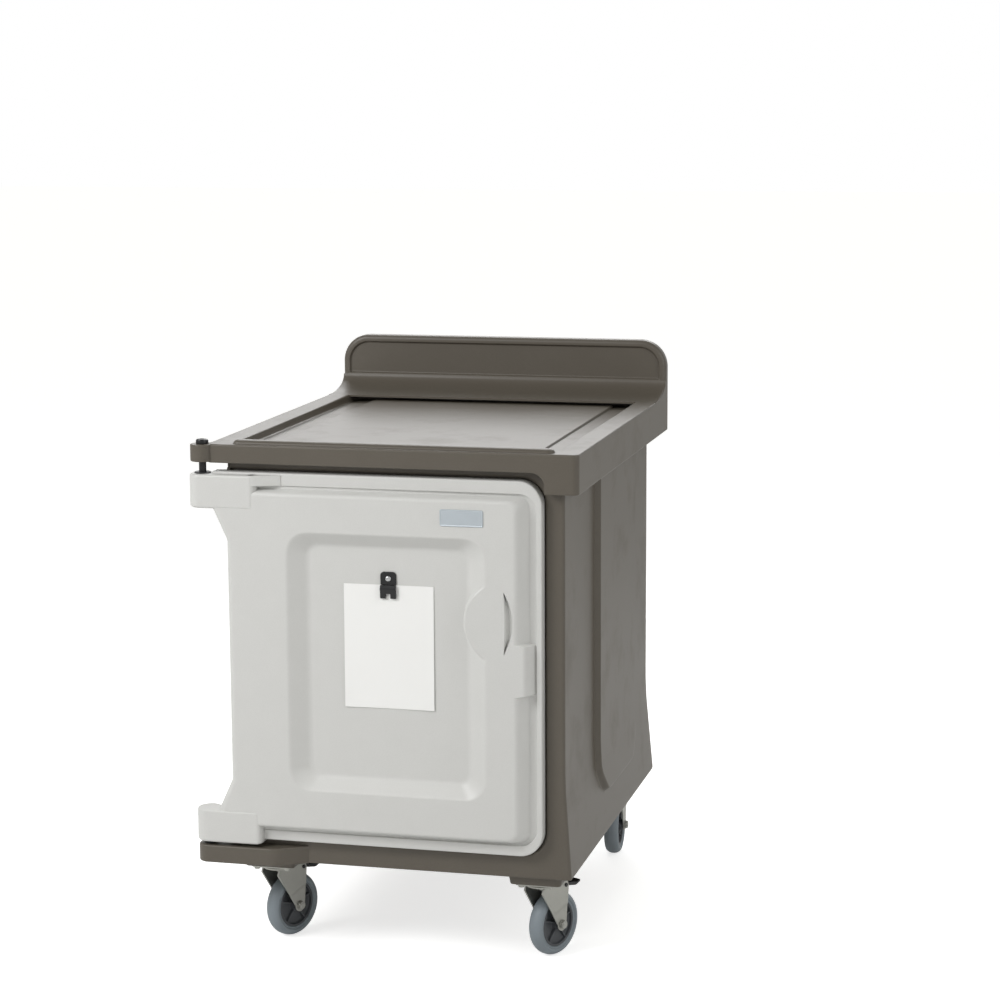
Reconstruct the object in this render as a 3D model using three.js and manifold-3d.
// Enclosed meal tray cart: a moulded cabinet with one door, a cap with a tray well and push handle,
// ledges for five levels of trays, and four swivel casters. Millimetres, +Z up, front towards -Y.
import * as THREE from 'three';
import { mergeVertices } from 'three/addons/utils/BufferGeometryUtils.js';
import Module from 'manifold-3d';

const wasm = await Module();
wasm.setup();

// ---------------------------------------------------------------- driving dimensions
const SEAT = 0.3; // clearance between pieces that rest on each other
const BEYOND = 1; // how far a cutter runs past the face that it opens
const BURY = 5; // how far a moulded-on piece runs into what carries it

// cabinet: X is measured from its middle, Y back from its front face, Z up from the floor
const cabinetWidth = 660;
const cabinetDepth = 850;
const cabinetFrontRadius = 6;
const cabinetRearRadius = 40;
const flareHeight = 187;
const flareSide = 12;
const flareRear = 22;
const panelProud = 12;
const panelFront = 262;
const panelLength = 378;
const panelLift = 79;
const panelCorner = 60;
const panelDraft = 12;
const panelRound = 30;
const plinthHeight = 8;
const rearPanelInset = 130;

// cap with its skirt, tray well, front bead and upstand handle
const capSideOverhang = 32;
const capFrontOverhang = 27;
const capRearOverhang = 47;
const capPlate = 36;
const capSkirt = 76;
const capSkirtWall = 19;
const capFrontRadius = 12;
const capRearRadius = 30;
const capEdgeRound = 4;
const skirtLip = 2;
const wellDepth = 16;
const wellSideRim = 47;
const wellFront = 6;
const wellRearRim = 97;
const wellRadius = 22;
const wellFootRound = 4;
const wellLip = 2;
const plateauRise = 5;
const gutterWidth = 52;
const gutterFront = 40;
const gutterRear = 14;
const plateauRadius = 16;
const plateauDraft = 3;
const beadRise = 8;
const beadDepth = 26;
const beadSetback = 8;
const beadEndGap = 2;
const handleRise = 120;
const handleThickness = 35;
const handleCorner = 58;
const handleRound = 9;
const handleBorder = 14;
const handlePanelDepth = 5;
const handlePanelDraft = 3;
const handleFootRadius = 2;
const rampRun = 110;
const rampToe = 2;
const rampRise = 34;
const cornerBlockGap = 6;
const notchRadius = 26;

// compartment and door rebate
const sideWall = 60;
const floorWall = 75;
const roofWall = 39.7;
const rearWall = 50;
const cavityRadius = 24;
const cavityRearRound = 18;
const rebateDepth = 12;
const rebateGap = 3;
const rebateRound = 5;
const rebateSquare = 1.5;

// door: it laps over the compartment's mouth on every side
const doorLapRight = 21;
const doorLapLeft = 52;
const doorLapBottom = 27;
const doorLapTop = 23;
const doorCorner = 45;
const doorEdge = 3;
const doorArmFillet = 12;
const doorHingeCorner = 2;
const doorBack = 8;
const flangeFront = -20;
const fieldFront = -40;
const flangeRight = 10;
const flangeTop = 24;
const flangeBottom = 20;
const grooveRight = 11;
const grooveEdge = 6;
const grooveDepth = 6;
const grooveDraft = 4;
const grooveStart = 40;
const fieldBevelRight = 19;
const fieldBevelEdge = 5;
const fieldCorner = 20;
const fieldSideRound = 9;
const partingStep = 0.5;
const recessBorderLeft = 121;
const recessBorderRight = 105;
const recessBorderEnd = 109;
const recessDepth = 22;
const recessSlopeSide = 36;
const recessSlopeEnd = 26;
const recessCorner = 42;
const recessFloorCorner = 22;
const recessLip = 2;
const gripInset = 99;
const gripRise = 93;
const gripHalfHeight = 73;
const gripHalfWidth = 47;
const gripEdge = 3;
const gripDraft = 4;
const scoopWidth = 15;
const scoopDepth = 13;
const scoopDraft = 4;
const pullPadReach = 17;
const pullPadRoot = 60;
const pullPadRadius = 3;
const pullPadDraft = 3;
const pullPadHeight = 98;
const pullPadDrop = 41;
const doorWall = 6;
const doorRimLeft = 16;
const doorRimRight = 28;
const doorRimEnd = 34;
const doorRimRadius = 20;
const linerPlate = 1.6;
const linerPlateLeft = 10;
const linerPlateEdge = 7;
const linerPlateRadius = 14;
const linerGap = 8;
const linerDepth = 20;
const linerDraft = 4;
const linerRound = 4;
const linerBorder = 40;
const linerDish = 6;
const dishDraft = 12;
const gasketWidth = 10;
const gasketInset = 8;
const gasketDrop = 4;

// hinges
const hingeOut = 11;
const hingeForward = 16;
const earRadius = 23;
const earArmSetback = 12;
const earArmBack = 20;
const earArmRoot = 40;
const earDrop = 1;
const earThickness = 33;
const lowerEarThickness = 35;
const lowerEarReach = 138;
const lowerEarRoot = 203;
const lowerEarBack = 53;
const lowerEarDepth = 37;
const lowerEarTuck = 4;
const blockRadius = 25;
const blockReach = 109;
const blockTopHeight = 65;
const blockBottomHeight = 65;
const blockLift = 7;
const blockDrop = 4;
const blockEdge = 3;
const blockNose = 6;
const blockBackGap = 2.3;
const tongueReach = 49;
const tongueHeight = 20;
const tongueBack = 12;
const tongueLap = 12;
const armInset = 20;
const armHeight = 68;
const armOverlap = 6;
const pinRadius = 7;
const pinHeadRadius = 12;
const pinHeadHeight = 9;
const pinTip = 1.5;
const pinEndGap = 3;
const pinFootGap = 2;
const pinEngagement = 44;
const pinClearance = 0.4;
const bushRadius = 11;
const bushFlangeRadius = 16;
const bushFlange = 2;
const collarRadius = 12;

// catch
const catchHeight = 60;
const catchDepth = 24;
const catchWidth = 15;
const catchLedge = 2; // the catch sits above the third ledge
const catchAboveLedge = 62;
const strikeThickness = 1.5;
const strikeWidth = 22;
const strikeBorder = 4;
const strikeEdge = 5;
const strikeRadius = 3;

// menu clip, card and badge
const clipShift = 1.5;
const clipDrop = 72;
const clipBaseHeight = 25;
const clipJawHeight = 26;
const clipWidth = 31;
const clipPlate = 1.5;
const clipCorner = 5;
const clipFork = 9;
const clipScrewDrop = 13;
const clipScrewRadius = 5.5;
const clipScrewHead = 2.5;
const clipShank = 2.1;
const clipShankGap = 0.3;
const clipLift = 3;
const clipBend = 7;
const clipBow = 2;
const cardWidth = 176;
const cardHeight = 239;
const cardTuck = 0.5;
const cardThickness = 0.6;
const badgeWidth = 83;
const badgeHeight = 32;
const badgeInset = 148.5;
const badgeDrop = 70;
const badgeThickness = 1.2;
const badgeRadius = 3;
const badgeBevel = 1;

// tray ledges
const ledgeLevels = 5;
const ledgeFloorGap = 34;
const ledgePitch = 126;
const ledgeSeat = 30;
const ledgeLip = 22;
const topTraySpace = 132; // from the top ledge to the compartment's roof
const ledgeSheet = 2;
const ledgeFront = 44;
const ledgeRearGap = 10;
const uprightThickness = 6;
const uprightWidth = 30;
const uprightSetback = 86;
const uprightRearGap = 110;
const uprightAbove = 12;
const uprightFootGap = 2;

// casters
const wheelRadius = 63.5;
const tyreWidth = 32;
const tyreInner = 46;
const hubWidth = 36;
const hubRimWidth = 26;
const hubWeb = 12;
const axleRadius = 6;
const axleHead = 5.5;
const axleHeadRadius = 9.5;
const hubBoss = 13;
const hubRim = 5;
const tyreCrown = 11;
const tyreShoulder = 5;
const casterTrail = 35;
const casterSideInset = 63;
const casterFrontInset = 78;
const casterRearInset = 88;
const casterPlateX = 84;
const casterPlateY = 104;
const casterPlateThickness = 4;
const casterPad = 20;
const casterPadMargin = 8;
const casterPadRadius = 8;
const casterPadDraft = 4;
const casterPlateRadius = 10;
const plateHoleRadius = 4.5;
const plateHoleInset = 11;
const raceRadius = 30;
const raceHeight = 7;
const raceChamfer = 3;
const yokeSheet = 4;
const forkClearance = 20.2;
const yokeInside = 40;
const swivelGap = 0.5;
const crownInset = 3;
const crownLip = 2;
const legApex = 13;
const legFront = 27;
const legRear = 54;
const legDrop = 13;
const legChamfer = 7;
const pedalWidth = 26;
const pedalReach = 60;
const pedalSheet = 6;
const pedalPivotRadius = 4;
const pedalPivotInset = 9;
const pedalPivotGap = 2.5;
const pedalPivotEnd = 2;
const pedalDip = 14;
const pedalToe = 12;
const pedalToeRise = 5;
const brakeTravel = 12; // degrees from free to pressed
const shoeSetback = 2;
const shoeLength = 14;
const shoeWidth = 20;
const shoeGap = 0.8;
const frontCasterTurn = -26;
const rearCasterTurn = 3;

// ---------------------------------------------------------------- derived places
const crownTop = 2 * wheelRadius + forkClearance + yokeSheet;
const raceSplit = crownTop + swivelGap;
const raceTop = raceSplit + raceHeight;
const casterMount = raceTop + casterPlateThickness + SEAT;
const cabinetUnderside = casterMount + casterPad;
const cavityBottom = cabinetUnderside + floorWall;
const ledgeFirst = cavityBottom + ledgeFloorGap;
const ledgeLast = ledgeFirst + (ledgeLevels - 1) * ledgePitch;
const cavityTop = ledgeLast + topTraySpace;
const bodyTop = cavityTop + roofWall;
const capTop = bodyTop + SEAT + capPlate;
const halfBody = cabinetWidth / 2;
const flareTop = cabinetUnderside + flareHeight;
const panelBottom = cabinetUnderside + panelLift;
const panelRear = panelFront + panelLength;
const halfCap = halfBody + capSideOverhang;
const skirtBottom = capTop - capSkirt;
const wellFloor = capTop - wellDepth;
const capFront = -capFrontOverhang;
const capRear = cabinetDepth + capRearOverhang;
const wellRear = capRear - wellRearRim;
const handleTop = capTop + handleRise;
const handleFront = capRear - handleThickness;
const cavityWidth = cabinetWidth - 2 * sideWall;
const cavityRear = cabinetDepth - rearWall;
const doorRight = cavityWidth / 2 + doorLapRight;
const doorLeft = -cavityWidth / 2 - doorLapLeft;
const doorBottom = cavityBottom - doorLapBottom;
const doorTop = cavityTop + doorLapTop;
const doorMiddleZ = (doorBottom + doorTop) / 2;
const cornerBlockLeft = doorRight + cornerBlockGap;
const recessLeft = doorLeft + recessBorderLeft;
const recessRight = doorRight - recessBorderRight;
const recessBottom = doorBottom + recessBorderEnd;
const recessTop = doorTop - recessBorderEnd;
const gripX = doorRight - gripInset;
const gripZ = doorMiddleZ + gripRise;
const pullPadTop = gripZ - pullPadDrop;
const pullPadBottom = pullPadTop - pullPadHeight;
const linerWidth = cavityWidth - 2 * linerGap;
const linerBottom = cavityBottom + linerGap;
const linerTop = cavityTop - linerGap;
const hingeX = -halfCap - hingeOut;
const hingeY = -hingeForward;
const blockRight = hingeX + blockReach;
const armX = hingeX + armInset;
const recessFloor = fieldFront + recessDepth;
const topEarTop = capTop - earDrop;
const topEarBottom = topEarTop - earThickness;
const lowerEarTop = cabinetUnderside + lowerEarThickness;
const lowerBlockBottom = lowerEarTop + blockLift;
const upperBlockTop = doorTop - blockDrop;
const clipX = (recessLeft + recessRight) / 2 + clipShift;
const clipTop = recessTop - clipDrop;
const clipSplit = clipTop - clipBaseHeight;
const clipBottom = clipSplit - clipJawHeight;
const clipScrewZ = clipTop - clipScrewDrop;
const cardTop = clipSplit - cardTuck;
const badgeX = doorRight - badgeInset;
const badgeZ = doorTop - badgeDrop;
const ledgeRear = cavityRear - ledgeRearGap;
const catchZ = ledgeFirst + catchLedge * ledgePitch + catchAboveLedge;
const uprightFrontY = ledgeFront + uprightSetback;
const uprightRearY = cavityRear - uprightRearGap;
const casterX = halfBody - casterSideInset;
const casterFrontY = casterFrontInset;
const casterRearY = cabinetDepth - casterRearInset;
const pedalPivotY = legRear - pedalPivotInset;
const pedalPivotZ = crownTop - yokeSheet - pedalPivotRadius - pedalPivotGap;
const pinHole = pinRadius + pinClearance;
const cardFront = recessFloor - SEAT - cardThickness;
const clipFront = cardFront - SEAT - clipPlate;
const grooveFloor = flangeFront + grooveDepth;
const fieldRight = doorRight - flangeRight - grooveRight - grooveDraft;

// ---------------------------------------------------------------- outlines
const v2 = (x, y) => new THREE.Vector2(x, y);
const sharpest = 0.6; // a moulded or bent corner is never sharper than this

/** Closed polygon with every corner rounded; a corner always gives the same number of points. */
function rounded(corners, radii, segments = 5) {
  const points = [];
  corners.forEach((corner, i) => {
    const before = corners[(i + corners.length - 1) % corners.length];
    const after = corners[(i + 1) % corners.length];
    const toBefore = before.clone().sub(corner).normalize();
    const toAfter = after.clone().sub(corner).normalize();
    const half = Math.acos(THREE.MathUtils.clamp(toBefore.dot(toAfter), -1, 1)) / 2;
    const radius = Math.max(Array.isArray(radii) ? radii[i] : radii, sharpest);
    const reach = radius / Math.tan(half);
    const start = corner.clone().addScaledVector(toBefore, reach);
    const end = corner.clone().addScaledVector(toAfter, reach);
    const middle = toBefore.clone().add(toAfter).normalize();
    const centre = corner.clone().addScaledVector(middle, radius / Math.sin(half));
    const from = start.clone().sub(centre).angle();
    let sweep = end.clone().sub(centre).angle() - from;
    if (sweep > Math.PI) sweep -= 2 * Math.PI;
    if (sweep < -Math.PI) sweep += 2 * Math.PI;
    for (let k = 0; k <= segments; k += 1) {
      const angle = from + (sweep * k) / segments;
      points.push(v2(centre.x + radius * Math.cos(angle), centre.y + radius * Math.sin(angle)));
    }
  });
  return points;
}

const rectangle = (x0, x1, y0, y1) => [v2(x0, y0), v2(x1, y0), v2(x1, y1), v2(x0, y1)];
const roundedRectangle = (x0, x1, y0, y1, radii, segments) =>
  rounded(rectangle(x0, x1, y0, y1), radii, segments);

/** Polygon whose edges move inwards, each by its own distance. */
function inset(corners, distances) {
  const edges = corners.map((corner, i) => {
    const next = corners[(i + 1) % corners.length];
    const along = next.clone().sub(corner).normalize();
    const distance = Array.isArray(distances) ? distances[i] : distances;
    return { point: corner.clone().add(v2(-along.y, along.x).multiplyScalar(distance)), along };
  });
  return edges.map((edge, i) => {
    const last = edges[(i + edges.length - 1) % edges.length];
    const cross = last.along.cross(edge.along);
    const gap = edge.point.clone().sub(last.point);
    return last.point.clone().addScaledVector(last.along, gap.cross(edge.along) / cross);
  });
}

// ---------------------------------------------------------------- solids
const placeOn = {
  z: (u, v, w) => new THREE.Vector3(u, v, w), // outline in X and Y, stacked along Z
  y: (u, v, w) => new THREE.Vector3(u, w, v), // outline in X and Z, stacked along Y
  x: (u, v, w) => new THREE.Vector3(w, u, v), // outline in Y and Z, stacked along X
};

function manifoldOf(geometry) {
  const bare = geometry.clone();
  bare.deleteAttribute('normal');
  bare.deleteAttribute('uv');
  const merged = mergeVertices(bare, 1e-4);
  return new wasm.Manifold(new wasm.Mesh({
    numProp: 3,
    vertProperties: new Float32Array(merged.attributes.position.array),
    triVerts: new Uint32Array(merged.index.array),
  }));
}

/** Solid through outlines of equal point counts: sections are [outline, place] along an axis. */
function loft(axis, sections) {
  const count = sections[0][0].length;
  const positions = [];
  sections.forEach(([outline, place]) => {
    outline.forEach((p) => positions.push(...placeOn[axis](p.x, p.y, place).toArray()));
  });
  const index = [];
  for (let s = 0; s + 1 < sections.length; s += 1) {
    for (let i = 0; i < count; i += 1) {
      const a = s * count + i;
      const b = s * count + ((i + 1) % count);
      index.push(a, b, b + count, a, b + count, a + count);
    }
  }
  const last = (sections.length - 1) * count;
  THREE.ShapeUtils.triangulateShape(sections[0][0], []).forEach(([a, b, c]) => {
    index.push(a, c, b);
  });
  THREE.ShapeUtils.triangulateShape(sections.at(-1)[0], []).forEach(([a, b, c]) => {
    index.push(last + a, last + b, last + c);
  });
  const turned = (sections.at(-1)[1] > sections[0][1]) === (axis === 'y');
  if (turned) {
    for (let i = 0; i < index.length; i += 3) {
      [index[i], index[i + 1]] = [index[i + 1], index[i]];
    }
  }
  const geometry = new THREE.BufferGeometry();
  geometry.setAttribute('position', new THREE.Float32BufferAttribute(positions, 3));
  geometry.setIndex(index);
  return manifoldOf(geometry);
}

const prism = (axis, outline, from, to) => loft(axis, [[outline, from], [outline, to]]);

/** Sections that round an edge over, from the face inwards; outlineAt takes the inset. */
const roundedEdge = (outlineAt, face, inwards, radius) => [[1, 0], [0.3, 0.3], [0, 1]]
  .map(([share, depth]) => [outlineAt(radius * share), face + inwards * radius * depth]);

function box(x0, x1, y0, y1, z0, z1) {
  const geometry = new THREE.BoxGeometry(x1 - x0, y1 - y0, z1 - z0);
  geometry.translate((x0 + x1) / 2, (y0 + y1) / 2, (z0 + z1) / 2);
  return manifoldOf(geometry);
}

function cylinder(radius, z0, z1, x = 0, y = 0, sides = 32) {
  const geometry = new THREE.CylinderGeometry(radius, radius, z1 - z0, sides);
  geometry.rotateX(Math.PI / 2);
  geometry.translate(x, y, (z0 + z1) / 2);
  return manifoldOf(geometry);
}

/** Revolved solid: profile points are [radius, height]; a profile off the axis closes on itself. */
function revolve(profile, sides = 32) {
  const points = profile.map(([r, h]) => v2(r, h));
  if (profile[0][0] > 0) points.push(points[0].clone());
  const geometry = new THREE.LatheGeometry(points, sides);
  geometry.rotateX(Math.PI / 2);
  const solid = manifoldOf(geometry);
  if (solid.volume() > 0) return solid;
  const flipped = geometry.clone();
  const { array } = flipped.index;
  for (let i = 0; i < array.length; i += 3) [array[i], array[i + 1]] = [array[i + 1], array[i]];
  return manifoldOf(flipped);
}

const join = (first, ...others) => others.reduce((whole, piece) => whole.add(piece), first);
const cut = (first, ...others) => others.reduce((whole, piece) => whole.subtract(piece), first);

function geometryOf(solid) {
  const mesh = solid.getMesh();
  const geometry = new THREE.BufferGeometry();
  const positions = new Float32Array(mesh.vertProperties);
  geometry.setAttribute('position', new THREE.BufferAttribute(positions, 3));
  geometry.setIndex(new THREE.BufferAttribute(new Uint32Array(mesh.triVerts), 1));
  geometry.computeVertexNormals();
  return geometry;
}

// ---------------------------------------------------------------- finishes
const finishes = {
  taupePlastic: { color: 0x6a655e, roughness: 0.45, metalness: 0 },
  creamPlastic: { color: 0xd9d9d2, roughness: 0.5, metalness: 0 },
  blackPlastic: { color: 0x17171a, roughness: 0.4, metalness: 0 },
  softBlack: { color: 0x202022, roughness: 0.85, metalness: 0 },
  nylon: { color: 0x2a2a2c, roughness: 0.6, metalness: 0 },
  stainless: { color: 0xb9bbbd, roughness: 0.3, metalness: 1 },
  zinc: { color: 0xa9acad, roughness: 0.35, metalness: 1 },
  tyreGrey: { color: 0x6d7780, roughness: 0.7, metalness: 0 },
  hubGrey: { color: 0x3a3d40, roughness: 0.55, metalness: 0 },
  card: { color: 0xeeeeec, roughness: 0.7, metalness: 0 },
  badge: { color: 0xaab4bb, roughness: 0.4, metalness: 0.6 },
};

const cart = new THREE.Group();

function addPiece(name, solid, finish, parent = cart) {
  const mesh = new THREE.Mesh(geometryOf(solid), new THREE.MeshStandardMaterial(finishes[finish]));
  mesh.name = name;
  parent.add(mesh);
  return mesh;
}

// ---------------------------------------------------------------- cabinet
/** Plan of the cabinet, grown at its sides and rear where the foot flares. */
function bodySection(sideGrow, rearGrow) {
  const half = halfBody + sideGrow;
  const radii = [cabinetFrontRadius, cabinetFrontRadius, cabinetRearRadius, cabinetRearRadius];
  return roundedRectangle(-half, half, 0, cabinetDepth + rearGrow, radii);
}

/** Raised side panel: a drafted slab whose lower corners are cut, standing on the side's face. */
function sidePanel(side) {
  const base = [
    v2(panelFront, panelBottom + panelCorner), v2(panelFront + panelCorner, panelBottom),
    v2(panelRear - panelCorner, panelBottom), v2(panelRear, panelBottom + panelCorner),
    v2(panelRear, bodyTop), v2(panelFront, bodyTop),
  ];
  const drafts = [panelDraft, panelDraft, panelDraft, panelDraft, 0, panelDraft];
  const radii = [panelRound, panelRound, panelRound, panelRound, 0, 0];
  return loft('x', [
    [rounded(base, radii), side * (halfBody - panelProud)],
    [rounded(inset(base, drafts.map((d) => d / 2)), radii), side * halfBody],
    [rounded(inset(base, drafts), radii), side * (halfBody + panelProud)],
  ].sort((a, b) => a[1] - b[1]));
}

/** Raised rear panel, cut at its lower corners like the side ones. */
function rearPanel() {
  const half = halfBody - rearPanelInset;
  const base = [
    v2(-half + panelCorner, panelBottom), v2(half - panelCorner, panelBottom),
    v2(half, panelBottom + panelCorner), v2(half, bodyTop),
    v2(-half, bodyTop), v2(-half, panelBottom + panelCorner),
  ];
  const drafts = [panelDraft, panelDraft, panelDraft, 0, panelDraft, panelDraft];
  const radii = [panelRound, panelRound, panelRound, 0, 0, panelRound];
  return loft('y', [
    [rounded(base, radii), cabinetDepth - panelProud],
    [rounded(inset(base, drafts), radii), cabinetDepth + panelProud],
  ]);
}

/** Lower ear: a boss round the pin, an arm along the front and a slanted root. */
function lowerEar() {
  const arm = [
    v2(hingeX, hingeY - earRadius), v2(hingeX + lowerEarReach, hingeY - earRadius),
    v2(hingeX + lowerEarRoot, cabinetFrontRadius), v2(hingeX + lowerEarBack, lowerEarDepth),
    v2(hingeX + lowerEarTuck, hingeY + earRadius - 1),
  ];
  const ear = join(
    prism('z', arm, cabinetUnderside, lowerEarTop),
    cylinder(earRadius, cabinetUnderside, lowerEarTop, hingeX, hingeY, 36),
  );
  return cut(ear, cylinder(pinHole, cabinetUnderside - BEYOND, lowerEarTop + BEYOND, hingeX, hingeY));
}

/** Drafted pad under the cabinet that a caster's plate is bolted to. */
function casterPadSolid(x, y) {
  const halfX = casterPlateX / 2 + casterPadMargin;
  const halfY = casterPlateY / 2 + casterPadMargin;
  const section = (grow) => roundedRectangle(x - halfX - grow, x + halfX + grow,
    y - halfY - grow, y + halfY + grow, casterPadRadius + grow, 3);
  return loft('z', [[section(0), casterMount], [section(casterPadDraft), cabinetUnderside + BURY]]);
}

const casterPlaces = [
  ['front_left', -casterX, casterFrontY, frontCasterTurn],
  ['front_right', casterX, casterFrontY, frontCasterTurn],
  ['rear_left', -casterX, casterRearY, rearCasterTurn],
  ['rear_right', casterX, casterRearY, rearCasterTurn],
];

/** Cabinet: a flared tub with raised panels, opened at the front by a rebate and the compartment. */
function cabinetBody() {
  const shell = loft('z', [
    [bodySection(flareSide, flareRear), cabinetUnderside],
    [bodySection(flareSide, flareRear), cabinetUnderside + plinthHeight],
    [bodySection(0, 0), flareTop],
    [bodySection(0, 0), bodyTop],
  ]);
  const rebate = rectangle(doorLeft - rebateGap, doorRight + rebateGap, doorBottom - rebateGap,
    doorTop + rebateGap);
  const rebateRadii = [rebateSquare, doorCorner + rebateGap, doorCorner + rebateGap, rebateSquare];
  const rebateAt = (grow) => rounded(inset(rebate, -grow), rebateRadii.map((r) => r + grow));
  const rebateCutter = loft('y', [
    [rebateAt(rebateRound), -BEYOND],
    ...roundedEdge(rebateAt, 0, 1, rebateRound),
    [rebateAt(0), rebateDepth],
  ]);
  const cavity = rectangle(-cavityWidth / 2, cavityWidth / 2, cavityBottom, cavityTop);
  const cavityAt = (shrink) => rounded(inset(cavity, shrink), cavityRadius);
  const cavityCutter = loft('y', [
    [cavityAt(0), rebateDepth - BEYOND],
    ...roundedEdge(cavityAt, cavityRear, -1, cavityRearRound).reverse(),
  ]);
  const pads = casterPlaces.map(([, x, y]) => casterPadSolid(x, y));
  const whole = join(shell, sidePanel(1), sidePanel(-1), rearPanel(), lowerEar(), ...pads);
  return cut(whole, rebateCutter, cavityCutter);
}

// ---------------------------------------------------------------- cap
/** Plan of the cap, grown or shrunk all round. */
function capSection(grow) {
  const radii = [capFrontRadius, capFrontRadius, capRearRadius, capRearRadius].map((r) => r + grow);
  return roundedRectangle(-halfCap - grow, halfCap + grow, capFront - grow, capRear + grow, radii);
}

/** Cap plate with its skirt: full depth at the right and rear, open at the left and the front. */
function capShell() {
  const outer = loft('z', [
    [capSection(-skirtLip), skirtBottom],
    [capSection(0), skirtBottom + skirtLip],
    ...roundedEdge((d) => capSection(-d), capTop, -1, capEdgeRound).reverse(),
  ]);
  const under = capTop - capPlate;
  const left = -halfCap - BEYOND;
  const low = skirtBottom - BEYOND;
  const sleeve = box(left, halfCap - capSkirtWall, 0, capRear - capSkirtWall, low, under);
  const leftSide = box(left, -halfBody, 0, capRear + BEYOND, low, under);
  const frontStrip = prism('y', rounded(rectangle(left, cornerBlockLeft, low - notchRadius, under),
    [0, 0, notchRadius, 0]), capFront - BEYOND, 0.01);
  return cut(outer, sleeve, leftSide, frontStrip);
}

/** Tray well: a shallow basin with a gutter round a raised floor. */
function traySurface() {
  const half = halfCap - wellSideRim;
  const wellAt = (grow) => roundedRectangle(
    -half - grow, half + grow, wellFront - grow, wellRear + grow, wellRadius + grow);
  const basin = loft('z', [
    ...roundedEdge((d) => wellAt(-d), wellFloor, 1, wellFootRound),
    [wellAt(0), capTop - wellLip],
    [wellAt(wellLip), capTop],
    [wellAt(wellLip), handleTop],
  ]);
  const raised = half - gutterWidth;
  const plateauAt = (grow) => roundedRectangle(-raised - grow, raised + grow,
    wellFront + gutterFront - grow, wellRear - gutterRear + grow, plateauRadius + grow);
  const plateau = loft('z', [
    [plateauAt(plateauDraft), wellFloor - BEYOND],
    [plateauAt(plateauDraft * 0.6), wellFloor + plateauRise * 0.4],
    [plateauAt(0), wellFloor + plateauRise],
  ]);
  return { basin, plateau };
}

/** Front bead: a rounded ridge across the front of the well, running out at both ends. */
function frontBead() {
  const half = halfCap - wellSideRim - beadEndGap;
  const front = capFront + beadSetback;
  const section = (edge) => roundedRectangle(-half + edge, half - edge,
    front + edge, front + beadDepth - edge, beadDepth / 2 - edge - BEYOND, 4);
  return loft('z', [
    [section(0), wellFloor - BEYOND],
    [section(0), capTop + beadRise * 0.1],
    [section(beadDepth * 0.08), capTop + beadRise * 0.6],
    [section(beadDepth * 0.23), capTop + beadRise * 0.92],
    [section(beadDepth * 0.36), capTop + beadRise],
  ]);
}

/** Upstand push handle: side profile with a concave ramp, trimmed by a front outline. */
function pushHandle() {
  const rampStart = handleFront - rampRun;
  const foot = capTop - capPlate + BURY;
  const arc = (steps, pointAt) => Array.from({ length: steps + 1 },
    (_, i) => pointAt((i / steps) * (Math.PI / 2)));
  const profile = [
    v2(rampStart - rampToe, foot),
    v2(rampStart - rampToe, capTop - rampToe),
    ...arc(7, (t) => v2(rampStart + rampRun * Math.sin(t), capTop + rampRise * (1 - Math.cos(t)))),
    ...arc(4, (t) => v2(handleFront + handleRound * (1 - Math.cos(t)),
      handleTop - handleRound * (1 - Math.sin(t)))),
    ...arc(4, (t) => v2(capRear - handleRound * (1 - Math.sin(t)),
      handleTop - handleRound * (1 - Math.cos(t)))),
    v2(capRear, foot),
  ];
  const upstand = prism('x', profile.reverse(), -halfCap, halfCap);
  const front = rectangle(-halfCap, halfCap, capTop - capPlate, handleTop);
  const cornersAt = (shrink) => [handleFootRadius, handleFootRadius, handleCorner, handleCorner]
    .map((r) => Math.max(r - shrink, sharpest));
  const outlineAt = (shrink) => rounded(inset(front, shrink), cornersAt(shrink), 8);
  const trim = loft('y', [
    [outlineAt(0), rampStart - handleFootRadius - BEYOND],
    ...roundedEdge(outlineAt, capRear, -1, handleRound).reverse(),
  ]);
  const panel = rectangle(-halfCap + handleBorder, halfCap - handleBorder,
    capTop + rampRise + BEYOND, handleTop - handleBorder);
  const panelAt = (shrink) => rounded(inset(panel, shrink), cornersAt(handleBorder + shrink), 8);
  const panelCutter = loft('y', [
    [panelAt(0), handleFront - BURY],
    [panelAt(0), handleFront],
    [panelAt(handlePanelDraft), handleFront + handlePanelDepth],
  ]);
  return cut(upstand.intersect(trim), panelCutter);
}

/** Top ear: a boss round the pin, standing a little proud of the cap's front. */
function topEar() {
  const arm = box(hingeX, -halfCap + earArmRoot, hingeY - earRadius + earArmSetback, earArmBack,
    topEarBottom, topEarTop);
  const boss = cylinder(earRadius, topEarBottom, topEarTop, hingeX, hingeY, 36);
  return join(arm, boss);
}

function topCap() {
  const { basin, plateau } = traySurface();
  const hole = cylinder(pinHole, topEarBottom - BEYOND, topEarTop + BEYOND, hingeX, hingeY);
  const plate = join(capShell(), topEar(), pushHandle());
  return cut(join(cut(plate, basin), plateau, frontBead()), hole);
}

// ---------------------------------------------------------------- door
/** Corners of the door's face, from the lower hinge arm anticlockwise round the free edge. */
function leafCorners() {
  const armTop = upperBlockTop - blockTopHeight + armOverlap;
  const armBottom = lowerBlockBottom + blockBottomHeight - armOverlap;
  return [
    v2(armX, doorBottom), v2(doorRight, doorBottom), v2(doorRight, doorTop), v2(armX, doorTop),
    v2(armX, armTop), v2(doorLeft, armTop - armHeight), v2(doorLeft, armBottom + armHeight),
    v2(armX, armBottom),
  ];
}

/** The raised field has the same corners, set in from the flange by the groove. */
function fieldCorners() {
  const corners = leafCorners();
  corners[0].y = doorBottom + flangeBottom + grooveEdge;
  corners[1].set(fieldRight, doorBottom + flangeBottom + grooveEdge);
  corners[2].set(fieldRight, doorTop - flangeTop - grooveEdge);
  corners[3].y = doorTop - flangeTop - grooveEdge;
  return corners;
}

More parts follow.
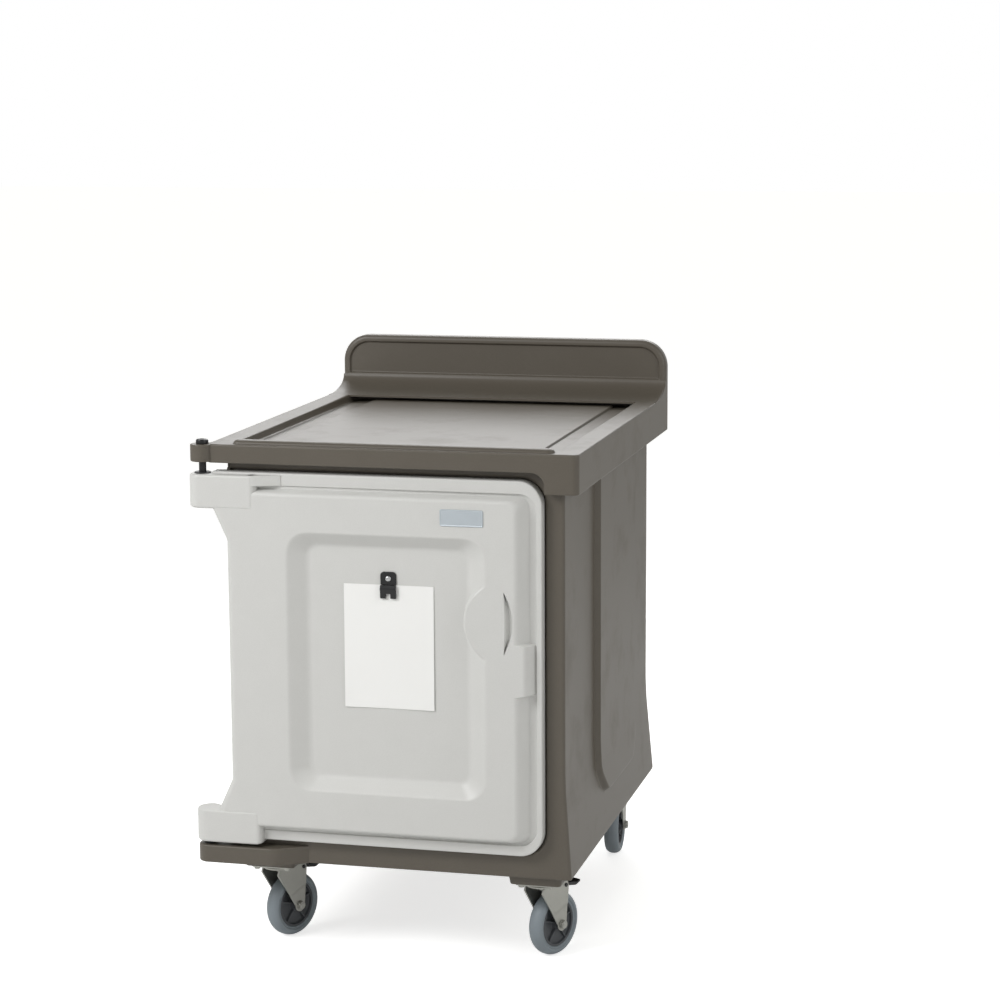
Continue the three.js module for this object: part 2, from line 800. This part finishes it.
/** Plan of a hinge block: an arm along the door's face and a round boss about the pin. */
function blockPlan(edge, steps = 22) {
  const radius = blockRadius - edge;
  const right = blockRight - edge;
  const rise = -blockBackGap - hingeY;
  const from = Math.asin(rise / radius);
  const sweep = 1.5 * Math.PI - from;
  const points = [
    v2(right - blockNose, hingeY - radius), v2(right, hingeY - radius + blockNose),
    v2(right, hingeY + rise),
  ];
  for (let i = 0; i <= steps; i += 1) {
    const angle = from + (sweep * i) / steps;
    points.push(v2(hingeX + radius * Math.cos(angle), hingeY + radius * Math.sin(angle)));
  }
  return points;
}

const hingeBlock = (bottom, top) => loft('z', [
  ...roundedEdge(blockPlan, bottom, 1, blockEdge),
  ...roundedEdge(blockPlan, top, -1, blockEdge).reverse(),
]);

function lensOutline(halfWidth, halfHeight, steps = 10) {
  const radius = (halfHeight ** 2 + halfWidth ** 2) / (2 * halfWidth);
  const sweep = Math.asin(halfHeight / radius);
  const points = [];
  [0, Math.PI].forEach((turn) => {
    const side = Math.cos(turn);
    for (let i = 0; i < steps; i += 1) {
      const angle = -sweep + (2 * sweep * i) / steps;
      points.push(v2(gripX + side * (radius * Math.cos(angle) - radius + halfWidth),
        gripZ + side * radius * Math.sin(angle)));
    }
  });
  return points;
}

/** Crescent finger scoop between the grip's right edge and a flatter line. */
function scoopOutline(shrink, steps = 8) {
  const halfHeight = gripHalfHeight * 0.84 - shrink * 2;
  const outer = [];
  const inner = [];
  for (let i = 0; i <= steps; i += 1) {
    const t = -1 + (2 * i) / steps;
    const bulge = 1 - t * t;
    const z = gripZ + t * halfHeight;
    outer.push(v2(gripX + gripHalfWidth - scoopWidth * 0.75 + (scoopWidth * 0.75 - shrink) * bulge, z));
    if (i > 0 && i < steps) {
      inner.push(v2(gripX + gripHalfWidth - scoopWidth + shrink * 0.4, z));
    }
  }
  return [...outer, ...inner.reverse()];
}

/** Recess in the door's field: share 0 is the outline at its mouth, share 1 its floor. */
function recessAt(share, shrink = 0) {
  const mouth = rectangle(recessLeft, recessRight, recessBottom, recessTop);
  const floor = inset(mouth, [recessSlopeEnd, recessSlopeSide, recessSlopeEnd, recessSlopeSide]);
  const corners = mouth.map((p, i) => p.clone().lerp(floor[i], share));
  return rounded(inset(corners, shrink),
    THREE.MathUtils.lerp(recessCorner, recessFloorCorner, share) - Math.min(shrink, 0), 6);
}

function recessCutter() {
  return loft('y', [
    [recessAt(0, -recessLip), fieldFront - BEYOND],
    [recessAt(0, -recessLip), fieldFront],
    [recessAt(0.06), fieldFront + recessLip],
    [recessAt(0.94), recessFloor - recessLip],
    [recessAt(1, recessLip), recessFloor],
  ]);
}

/** Raised field of the door: its free edges slope down to the groove, the hinge side is rounded. */
function doorField() {
  const radii = [doorHingeCorner, fieldCorner, fieldCorner, doorHingeCorner,
    doorHingeCorner, doorArmFillet, doorArmFillet, doorHingeCorner];
  const fieldAt = (slope, turn) => {
    const hingeSide = Array(5).fill(fieldSideRound * turn + partingStep);
    const freeSide = [fieldBevelEdge, fieldBevelRight, fieldBevelEdge].map((d) => d * slope);
    return rounded(inset(fieldCorners(), [...freeSide, ...hingeSide]), radii, 6);
  };
  const height = grooveFloor - fieldFront;
  return loft('y', [
    [fieldAt(1, 1), fieldFront],
    [fieldAt(0.94, 0.55), fieldFront + height * 0.06],
    [fieldAt(0.8, 0.2), fieldFront + height * 0.2],
    [fieldAt(0.6, 0), fieldFront + height * 0.4],
    [fieldAt(0, 0), grooveFloor + BEYOND],
  ]);
}

/** Flat leaf behind the field: its flange shows round the free edges, past a groove. */
function doorLeaf() {
  const leaf = leafCorners();
  const radii = [doorHingeCorner, doorCorner, doorCorner, doorHingeCorner,
    doorHingeCorner, doorArmFillet, doorArmFillet, doorHingeCorner];
  const leafAt = (shrink) => rounded(inset(leaf, shrink),
    radii.map((r) => Math.max(r - shrink, sharpest)), 6);
  const slab = loft('y', [...roundedEdge(leafAt, flangeFront, 1, doorEdge), [leafAt(0), doorBack]]);
  const left = armX - 2 * blockRadius;
  const grooveCorner = doorCorner - flangeRight;
  const groove = cut(
    prism('y', rounded(rectangle(left, doorRight - flangeRight, doorBottom + flangeBottom,
      doorTop - flangeTop), [0, grooveCorner, grooveCorner, 0], 6), flangeFront - BEYOND, grooveFloor),
    box(left - BEYOND, blockRight + grooveStart, flangeFront - BURY, grooveFloor + BURY,
      doorBottom, doorTop),
  );
  const behindBlocks = join(
    box(left, doorLeft - rebateGap + BEYOND, -blockBackGap - BEYOND, doorBack + BEYOND,
      doorBottom - BURY, doorTop + BURY),
    box(left, blockRight + tongueReach - tongueLap, flangeFront - BEYOND, doorBack + BEYOND,
      upperBlockTop - armOverlap, doorTop + BURY),
  );
  return cut(slab, behindBlocks, groove);
}

/** Door moulding: leaf, field, recess, finger grip, pull pad and the two hinge blocks. */
function doorShell() {
  const padRight = doorRight - flangeRight - pullPadDraft;
  const pullPad = loft('y', [
    [roundedRectangle(doorRight - pullPadRoot, fieldRight - fieldBevelRight + pullPadReach,
      pullPadBottom + pullPadDraft, pullPadTop - pullPadDraft, pullPadRadius, 3), fieldFront],
    [roundedRectangle(doorRight - pullPadRoot, padRight, pullPadBottom, pullPadTop,
      pullPadRadius, 3), grooveFloor + BEYOND],
  ]);
  const grip = loft('y', [
    [lensOutline(gripHalfWidth - gripEdge, gripHalfHeight - gripEdge), fieldFront],
    [lensOutline(gripHalfWidth, gripHalfHeight), fieldFront + gripEdge],
    [lensOutline(gripHalfWidth + gripDraft, gripHalfHeight + gripDraft), recessFloor + BEYOND],
  ]);
  const scoop = loft('y', [
    [scoopOutline(0), fieldFront - BEYOND],
    [scoopOutline(0), fieldFront + BEYOND],
    [scoopOutline(scoopDraft), fieldFront + scoopDepth],
  ]);
  const tongue = box(blockRight - blockNose, blockRight + tongueReach, fieldFront + tongueBack,
    grooveFloor + BEYOND, upperBlockTop - tongueHeight, upperBlockTop);
  const foamSpace = prism('y', roundedRectangle(doorLeft + doorRimLeft, doorRight - doorRimRight,
    doorBottom + doorRimEnd, doorTop - doorRimEnd, doorRimRadius, 4),
  recessFloor + doorWall, doorBack + BEYOND);
  const upperBlock = hingeBlock(upperBlockTop - blockTopHeight, upperBlockTop);
  const lowerBlock = hingeBlock(lowerBlockBottom, lowerBlockBottom + blockBottomHeight);
  const moulding = join(cut(join(doorLeaf(), doorField(), pullPad), recessCutter()), grip, tongue);
  const bushHole = (from, to) => cylinder(bushRadius + SEAT, from, to, hingeX, hingeY);
  return cut(
    join(cut(moulding, scoop, foamSpace), upperBlock, lowerBlock),
    bushHole(upperBlockTop - pinEngagement, upperBlockTop + BEYOND),
    bushHole(lowerBlockBottom - BEYOND, lowerBlockBottom + pinEngagement),
  );
}

/** Inner face of the door: a plate on the moulding and a shallow dished plug in the compartment. */
function doorLiner() {
  const front = doorBack + SEAT;
  const back = front + linerDepth;
  const edge = linerPlateEdge;
  const plate = prism('y', roundedRectangle(doorLeft + linerPlateLeft, doorRight - edge,
    doorBottom + edge, doorTop - edge,
    [linerPlateRadius, doorCorner - edge, doorCorner - edge, linerPlateRadius], 6),
  front, front + linerPlate);
  const plug = rectangle(-linerWidth / 2, linerWidth / 2, linerBottom, linerTop);
  const plugAt = (shrink) => rounded(inset(plug, shrink), cavityRadius - linerDraft);
  const plugSolid = loft('y', [
    [plugAt(0), front],
    ...roundedEdge((d) => plugAt(linerDraft + d), back, -1, linerRound).reverse(),
  ]);
  const dish = loft('y', [
    [rounded(inset(plug, linerBorder + dishDraft), cavityRadius), back - linerDish],
    [rounded(inset(plug, linerBorder), cavityRadius), back],
    [rounded(inset(plug, linerBorder), cavityRadius), back + BEYOND],
  ]);
  return cut(join(plate, plugSolid), dish);
}

/** Flat sealing ring between the liner's plate and the cabinet's rebate. */
function doorGasket() {
  const front = doorBack + SEAT + linerPlate + SEAT;
  const back = rebateDepth - SEAT;
  const right = doorRight - gasketInset;
  const outer = rectangle(-right, right, doorBottom + gasketInset + gasketDrop,
    doorTop - gasketInset - 2);
  const radius = doorCorner - gasketInset;
  return cut(
    prism('y', rounded(outer, radius, 6), front, back),
    prism('y', rounded(inset(outer, gasketWidth), radius - gasketWidth, 6),
      front - BEYOND, back + BEYOND),
  );
}

// ---------------------------------------------------------------- hinges
/** Headed pin, dropped through the top ear into the upper block. */
function hingePinTop() {
  const head = topEarTop + SEAT;
  const end = upperBlockTop - pinEngagement + pinEndGap;
  return revolve([
    [0, end], [pinRadius - pinTip, end], [pinRadius, end + pinTip], [pinRadius, head],
    [pinHeadRadius, head], [pinHeadRadius, head + pinHeadHeight - pinTip],
    [pinHeadRadius - pinTip, head + pinHeadHeight], [0, head + pinHeadHeight],
  ], 20).translate([hingeX, hingeY, 0]);
}

/** Lower pin: it stands in the lower ear on a collar that carries the door. */
function hingePinBottom() {
  const end = lowerBlockBottom + pinEngagement - pinEndGap;
  const foot = cabinetUnderside + pinFootGap;
  const collarBottom = lowerEarTop + SEAT;
  const collarTop = lowerBlockBottom - bushFlange - 2 * SEAT;
  return revolve([
    [0, foot], [pinRadius, foot], [pinRadius, collarBottom],
    [collarRadius, collarBottom], [collarRadius, collarTop], [pinRadius, collarTop],
    [pinRadius, end - pinTip], [pinRadius - pinTip, end], [0, end],
  ], 20).translate([hingeX, hingeY, 0]);
}

/** Flanged sleeve: the flange lies at `face`, the sleeve runs `length` into the block. */
function hingeBush(face, direction) {
  const inner = pinHole;
  const length = pinEngagement - bushFlange;
  const along = (d) => face + direction * d;
  return revolve([
    [inner, along(bushFlange + SEAT)], [bushFlangeRadius, along(bushFlange + SEAT)],
    [bushFlangeRadius, along(SEAT)], [bushRadius, along(SEAT)],
    [bushRadius, along(-length)], [inner, along(-length)],
  ], 20).translate([hingeX, hingeY, 0]);
}

// ---------------------------------------------------------------- catch
/** Magnet on the compartment's wall and the strike plate that meets it on the door's liner. */
function catchPieces() {
  const wall = cavityWidth / 2 - SEAT;
  const strikeFront = doorBack + SEAT + linerDepth + SEAT;
  const strikeBack = strikeFront + strikeThickness;
  const low = catchZ - catchHeight / 2;
  const high = catchZ + catchHeight / 2;
  const magnet = box(wall - catchWidth, wall, strikeBack + SEAT, strikeBack + SEAT + catchDepth,
    low, high);
  const right = linerWidth / 2 - linerDraft - strikeEdge;
  const strike = prism('y', roundedRectangle(right - strikeWidth, right,
    low - strikeBorder, high + strikeBorder, strikeRadius, 3), strikeFront, strikeBack);
  return { magnet, strike };
}

// ---------------------------------------------------------------- clip, card and badge
/** Menu clip: a base screwed over the card's top edge and a sprung, forked jaw below it. */
function clipPieces() {
  const back = recessFloor - SEAT;
  const left = clipX - clipWidth / 2;
  const right = clipX + clipWidth / 2;
  const base = cut(
    prism('y', roundedRectangle(left, right, clipSplit, clipTop, [1, 1, clipCorner, clipCorner], 4),
      clipFront, back),
    cylinderAcross(clipX, clipScrewZ, clipShank + clipShankGap, clipFront - BEYOND, back + BEYOND),
  );
  const foot = clipFront - clipLift;
  const jawTop = clipSplit - SEAT;
  const knee = clipSplit - clipBend;
  const jawProfile = [
    v2(clipFront, jawTop), v2(foot, jawTop), v2(foot - clipBow, knee), v2(foot, clipBottom),
    v2(clipFront, clipBottom), v2(cardFront - SEAT, clipBottom + clipBend), v2(clipFront - 1, knee),
  ];
  const forkTop = clipBottom + clipFork;
  const fork = prism('y', [
    v2(clipX - clipFork / 2, clipBottom - BEYOND), v2(clipX + clipFork / 2, clipBottom - BEYOND),
    v2(clipX + clipFork / 2, forkTop), v2(clipX, forkTop + clipFork / 2),
    v2(clipX - clipFork / 2, forkTop),
  ], foot - clipBow - BEYOND, back);
  const jaw = cut(prism('x', jawProfile, left, right), fork);
  const seat = clipFront - SEAT;
  const screw = join(
    cylinderAcross(clipX, clipScrewZ, clipScrewRadius, seat - clipScrewHead, seat),
    cylinderAcross(clipX, clipScrewZ, clipShank, seat - BEYOND, back),
  );
  const card = box(clipX - cardWidth / 2, clipX + cardWidth / 2, cardFront, back,
    cardTop - cardHeight, cardTop);
  return { base, jaw, screw, card };
}

/** Round bar along Y. */
function cylinderAcross(x, z, radius, y0, y1, sides = 24) {
  const geometry = new THREE.CylinderGeometry(radius, radius, y1 - y0, sides);
  geometry.translate(x, (y0 + y1) / 2, z);
  return manifoldOf(geometry);
}

/** Bare plate on the door's field, bevelled all round. */
function badgePlate() {
  const back = fieldFront - SEAT;
  const plate = rectangle(badgeX - badgeWidth / 2, badgeX + badgeWidth / 2,
    badgeZ - badgeHeight / 2, badgeZ + badgeHeight / 2);
  return loft('y', [
    [rounded(inset(plate, badgeBevel), badgeRadius - badgeBevel, 3), back - badgeThickness],
    [rounded(plate, badgeRadius, 3), back],
  ]);
}

// ---------------------------------------------------------------- tray ledges
/** Rack on each side wall: two uprights and a bent sheet ledge for every level. */
function addRacks() {
  const wall = cavityWidth / 2 - SEAT;
  const levels = Array.from({ length: ledgeLevels }, (_, i) => ledgeFirst + i * ledgePitch);
  const bottom = cavityBottom + cavityRadius + uprightFootGap;
  const top = ledgeLast + ledgeLip + uprightAbove;
  [['left', -1], ['right', 1]].forEach(([name, side]) => {
    [['front', uprightFrontY], ['rear', uprightRearY]].forEach(([end, y]) => {
      const [x0, x1] = [side * (wall - uprightThickness), side * wall].sort((a, b) => a - b);
      const strip = box(x0, x1, y - uprightWidth / 2, y + uprightWidth / 2, bottom, top);
      addPiece(`rack_upright_${name}_${end}`, strip, 'stainless');
    });
    const back = wall - uprightThickness - SEAT;
    levels.forEach((z, k) => {
      const section = [[ledgeSeat, 0], [0, 0], [0, ledgeLip], [ledgeSheet, ledgeLip],
        [ledgeSheet, ledgeSheet], [ledgeSeat, ledgeSheet]]
        .map(([inwards, up]) => v2(side * (back - inwards), z + up));
      const outline = side > 0 ? section : section.reverse();
      addPiece(`tray_ledge_${name}_${k + 1}`, prism('y', outline, ledgeFront, ledgeRear), 'stainless');
    });
  });
}

// ---------------------------------------------------------------- casters
/** Bolted top plate with the swivel race pressed into it. */
function casterPlate(x, y) {
  const top = casterMount - SEAT;
  const plate = prism('z', roundedRectangle(x - casterPlateX / 2, x + casterPlateX / 2,
    y - casterPlateY / 2, y + casterPlateY / 2, casterPlateRadius, 3), raceTop, top);
  const race = revolve([
    [0, raceSplit], [raceRadius - raceChamfer, raceSplit], [raceRadius, raceSplit + raceChamfer],
    [raceRadius, raceTop + BEYOND], [0, raceTop + BEYOND],
  ], 20).translate([x, y, 0]);
  const holes = [-1, 1].flatMap((i) => [-1, 1].map((j) => cylinder(
    plateHoleRadius, raceTop - BEYOND, top + BEYOND,
    x + i * (casterPlateX / 2 - plateHoleInset), y + j * (casterPlateY / 2 - plateHoleInset), 8)));
  return cut(join(plate, race), ...holes);
}

/** Fork in the caster's own frame: swivel axis at X = Y = 0, wheel set back along +Y. */
function casterYoke() {
  const half = yokeInside / 2 + yokeSheet;
  const legs = [-1, 1].map((side) => {
    const apex = Array.from({ length: 7 }, (_, i) => {
      const t = Math.PI * (1 + i / 6);
      return v2(casterTrail + legApex * Math.cos(t), wheelRadius + legApex * Math.sin(t));
    });
    const outline = [
      ...apex, v2(legRear, crownTop - legDrop), v2(legRear - legChamfer, crownTop),
      v2(-legFront + legChamfer, crownTop), v2(-legFront, crownTop - legDrop),
    ];
    return prism('x', outline, ...[side * (yokeInside / 2), side * half].sort((a, b) => a - b));
  });
  const under = crownTop - yokeSheet;
  const crown = box(-half, half, -legFront + crownInset, legRear - crownInset, under, crownTop);
  const race = cylinder(raceRadius + crownLip, under, crownTop + 0.01, 0, 0, 20);
  return cut(
    join(crown, race, ...legs),
    cylinderSide(casterTrail, wheelRadius, axleRadius + SEAT, half + BEYOND, 12),
    cylinderSide(pedalPivotY, pedalPivotZ, pedalPivotRadius + SEAT, half + BEYOND, 10),
  );
}

/** Round bar along X through (y, z). */
function cylinderSide(y, z, radius, half, sides = 20) {
  const geometry = new THREE.CylinderGeometry(radius, radius, 2 * half, sides);
  geometry.rotateZ(Math.PI / 2);
  geometry.translate(0, y, z);
  return manifoldOf(geometry);
}

/** Revolved piece laid along X at the wheel's centre. */
const atWheel = (solid) => solid.rotate([0, 90, 0]).translate([0, casterTrail, wheelRadius]);

function casterTyre() {
  const half = tyreWidth / 2;
  const tread = Array.from({ length: 7 }, (_, i) => {
    const t = Math.PI * (i / 6 - 0.5);
    return [wheelRadius - tyreCrown + tyreCrown * Math.cos(t), half * Math.sin(t)];
  });
  const bead = half - tyreShoulder;
  return atWheel(revolve([[tyreInner, -bead], ...tread, [tyreInner, bead]], 28));
}

/** Wheel centre: boss, web and rim in one revolve. */
function casterHub() {
  const rim = hubRimWidth / 2;
  const web = hubWeb / 2;
  const half = hubWidth / 2;
  const bore = axleRadius + SEAT;
  const outer = tyreInner - SEAT;
  const shoulder = outer - hubRim;
  const right = [[outer, rim], [shoulder, rim], [shoulder - 2, web], [hubBoss + 2, web],
    [hubBoss, half], [bore, half]];
  const left = right.map(([r, h]) => [r, -h]).reverse();
  return atWheel(revolve([...left, ...right], 24));
}

/** Axle bolt with its hexagon head and nut outside the fork's legs. */
function casterAxle() {
  const half = yokeInside / 2 + yokeSheet + SEAT;
  const bolt = cylinder(axleRadius, -half - BEYOND, half + BEYOND, 0, 0, 14);
  const head = cylinder(axleHeadRadius, half, half + axleHead, 0, 0, 6);
  const nut = cylinder(axleHeadRadius, -half - axleHead, -half, 0, 0, 6);
  return atWheel(join(bolt, head, nut));
}

/** Brake shoe under the pedal's arm: its face is the tyre's arc, met when the pedal is pressed. */
function brakeShoe() {
  const pressed = THREE.MathUtils.degToRad(brakeTravel);
  const wheel = v2(casterTrail, wheelRadius)
    .rotateAround(v2(pedalPivotY, pedalPivotZ), pressed);
  const radius = wheelRadius + shoeGap;
  const steps = 4;
  const face = Array.from({ length: steps + 1 }, (_, i) => {
    const y = pedalPivotY + shoeSetback + (shoeLength * i) / steps;
    return v2(y, wheel.y + Math.sqrt(radius ** 2 - (y - wheel.x) ** 2));
  });
  const root = pedalPivotZ - pedalSheet / 3;
  const outline = [...face, v2(face.at(-1).x, root), v2(face[0].x, root)];
  return prism('x', outline, -shoeWidth / 2, shoeWidth / 2);
}

/** Brake pedal: pivot bar, arm over the tyre, turned-up toe and the shoe above the tread. */
function casterPedal() {
  const y = pedalPivotY;
  const z = pedalPivotZ;
  const top = z + pedalSheet / 2;
  const toe = y + pedalReach;
  const heel = y - 2 * pedalSheet / 2;
  const dip = z - pedalDip;
  const profile = [
    v2(heel, z - pedalSheet / 2), v2(y + pedalReach / 6, z - pedalSheet * 0.7),
    v2(y + pedalReach * 0.43, dip + pedalPivotRadius), v2(toe - pedalToe - 2, dip),
    v2(toe, dip + pedalToeRise), v2(toe - 1, dip + pedalToeRise + pedalSheet),
    v2(toe - pedalToe, dip + pedalSheet),
    v2(y + pedalReach * 0.4, z - pedalSheet / 2), v2(y + pedalReach / 5, top), v2(heel, top),
  ];
  const arm = prism('x', profile, -pedalWidth / 2, pedalWidth / 2);
  const half = yokeInside / 2 + yokeSheet + pedalPivotEnd;
  return join(arm, cylinderSide(y, z, pedalPivotRadius, half, 10), brakeShoe());
}

function addCaster(name, x, y, turn) {
  addPiece(`caster_${name}_plate`, casterPlate(x, y), 'zinc');
  const swivel = new THREE.Group();
  swivel.position.set(x, y, 0);
  swivel.rotation.z = THREE.MathUtils.degToRad(turn);
  cart.add(swivel);
  addPiece(`caster_${name}_yoke`, casterYoke(), 'zinc', swivel);
  addPiece(`caster_${name}_tyre`, casterTyre(), 'tyreGrey', swivel);
  addPiece(`caster_${name}_hub`, casterHub(), 'hubGrey', swivel);
  addPiece(`caster_${name}_axle`, casterAxle(), 'zinc', swivel);
  addPiece(`caster_${name}_pedal`, casterPedal(), 'blackPlastic', swivel);
}

// ---------------------------------------------------------------- assembly
addPiece('cabinet_body', cabinetBody(), 'taupePlastic');
addPiece('top_cap', topCap(), 'taupePlastic');
addPiece('door_shell', doorShell(), 'creamPlastic');
addPiece('door_liner', doorLiner(), 'creamPlastic');
addPiece('door_gasket', doorGasket(), 'softBlack');
addPiece('hinge_pin_top', hingePinTop(), 'blackPlastic');
addPiece('hinge_pin_bottom', hingePinBottom(), 'blackPlastic');
addPiece('hinge_bush_top', hingeBush(upperBlockTop, 1), 'nylon');
addPiece('hinge_bush_bottom', hingeBush(lowerBlockBottom, -1), 'nylon');
const { magnet, strike } = catchPieces();
addPiece('catch_magnet', magnet, 'nylon');
addPiece('catch_strike', strike, 'stainless');
const { base, jaw, screw, card } = clipPieces();
addPiece('menu_clip_base', base, 'blackPlastic');
addPiece('menu_clip_jaw', jaw, 'blackPlastic');
addPiece('menu_clip_screw', screw, 'stainless');
addPiece('menu_card', card, 'card');
addPiece('badge_plate', badgePlate(), 'badge');
addRacks();
casterPlaces.forEach(([name, x, y, turn]) => addCaster(name, x, y, turn));

// the origin is on the floor under the middle of the whole cart
cart.updateMatrixWorld(true);
const extent = new THREE.Box3().setFromObject(cart, true);
cart.position.set(-(extent.min.x + extent.max.x) / 2, -(extent.min.y + extent.max.y) / 2, -extent.min.z);

export default cart;
